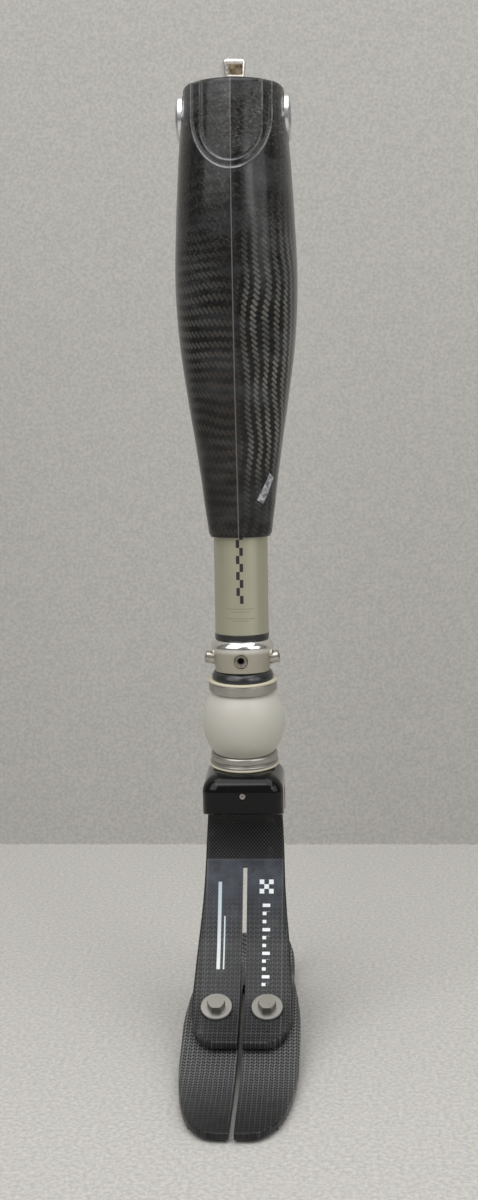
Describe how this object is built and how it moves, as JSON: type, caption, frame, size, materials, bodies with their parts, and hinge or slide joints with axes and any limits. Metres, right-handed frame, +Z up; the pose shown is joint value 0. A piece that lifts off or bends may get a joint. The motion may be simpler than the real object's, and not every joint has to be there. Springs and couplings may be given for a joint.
{
  "type": "lower-leg prosthesis",
  "caption": "Lower-leg prosthesis: hydraulic knee in a carbon frame, height-set tube, torsion and shock ankle module, and split-toe carbon foot.",
  "frame": {"origin": "on the floor under the middle of the whole leg, midway between toe tip and heel", "axes": "+Z up, -Y towards the toes, +X to the viewer's right when the leg faces the viewer"},
  "size_m": [0.0754, 0.264, 0.6046],
  "materials": {
    "polished_steel": "polished",
    "head_alloy": "machined satin",
    "hard_steel": "ground",
    "silver_cap": "fine satin",
    "black_alloy": "black hard anodised",
    "black_rubber": "smooth matt",
    "bronze": "bearing bronze",
    "black_plastic": "fine texture",
    "carbon_gloss": "clear-coated carbon twill",
    "screw_steel": "dark zinc",
    "anodised_tube": "olive anodised",
    "black_ring": "smooth",
    "receiver_steel": "polished satin",
    "ivory_plastic": "smooth",
    "ring_steel": "turned",
    "blue_alloy": "satin",
    "white_urethane": "smooth white urethane",
    "black_gloss": "gloss black",
    "carbon_blade": "pressed carbon laminate",
    "wedge_plastic": "moulded",
    "bolt_steel": "plated",
    "washer_steel": "plated"
  },
  "bodies": {
    "foot": {"lower_ring": "ring_steel", "shaft_bush": "bronze", "lower_gasket": "ivory_plastic", "ankle_block": "black_gloss", "block_pin": "screw_steel", "blade_plate": "black_gloss", "blade_bolts": "screw_steel", "upper_blade": "carbon_blade", "sole_blade": "carbon_blade", "toe_wedges": "wedge_plastic", "toe_bolts": "bolt_steel", "toe_washers": "washer_steel", "toe_nuts": "screw_steel", "sole_pads": "black_rubber"},
    "rotor": {"torsion_collar": "blue_alloy", "elastomer_ball": "white_urethane"},
    "shank": {"shock_shaft": "polished_steel", "upper_ring": "ring_steel", "upper_flange": "ivory_plastic", "dome_seal": "black_rubber", "foot_pyramid": "polished_steel", "pyramid_receiver": "receiver_steel", "set_screws": "screw_steel", "tube_end_ring": "black_ring", "shank_tube": "anodised_tube"},
    "knee_frame": {"carbon_frame": "carbon_gloss", "tube_clamp": "black_alloy", "clamp_screw": "screw_steel", "rear_cover": "black_plastic", "cover_screw": "screw_steel", "charge_port": "black_plastic", "electronics_box": "black_plastic", "battery_pack": "black_plastic", "axle_cap_left": "silver_cap", "axle_cap_right": "silver_cap", "bearing_left": "hard_steel", "bearing_right": "hard_steel", "bearing_housing_left": "black_alloy", "bearing_housing_right": "black_alloy", "extension_bumper": "black_rubber", "trunnion_pin": "hard_steel"},
    "knee_head": {"knee_head": "head_alloy", "knee_axles": "hard_steel", "top_pyramid": "polished_steel", "rod_pin": "hard_steel"},
    "damper_rod": {"damper_rod": "polished_steel", "damper_piston": "bronze"},
    "damper_cylinder": {"damper_cylinder": "black_alloy", "damper_gland": "black_alloy", "valve_block": "head_alloy", "servo_motor": "black_plastic", "damper_lug": "head_alloy"}
  },
  "joints": [
    {"name": "ankle_torsion", "type": "hinge", "parent": "foot", "child": "rotor", "pos_m": [0, 0.0465, 0.232], "axis": [0, -0.0872, 0.9962], "range_deg": [-15, 15], "stiffness_Nm_per_rad": 40},
    {"name": "shock_travel", "type": "slide", "parent": "rotor", "child": "shank", "axis": [0, 0.0872, -0.9962], "range_m": [0, 0.008], "stiffness_N_per_m": 100000, "springref_m": -0.0005, "deforming": ["elastomer_ball"]},
    {"name": "height_setting", "type": "slide", "parent": "shank", "child": "knee_frame", "axis": [0, 0, 1], "range_m": [-0.02, 0.025]},
    {"name": "knee", "type": "hinge", "parent": "knee_frame", "child": "knee_head", "pos_m": [0, 0.0465, 0.57], "axis": [-1, 0, 0], "range_deg": [0, 125], "stiffness_Nm_per_rad": 0.3, "springref_deg": -28.65},
    {"name": "rod_pivot", "type": "hinge", "parent": "knee_head", "child": "damper_rod", "pos_m": [0, 0.05296, 0.58242], "axis": [-1, 0, 0], "range_deg": [-125, 0]},
    {"name": "damper_stroke", "type": "slide", "parent": "damper_rod", "child": "damper_cylinder", "axis": [0, 0, 1], "range_m": [0, 0.0249]}
  ],
  "couplings": [
    {"joint": "rod_pivot", "follows": "knee", "ratio": -1},
    {"joint": "damper_stroke", "follows": "knee", "m_per_rad": 0.011384}
  ]
}
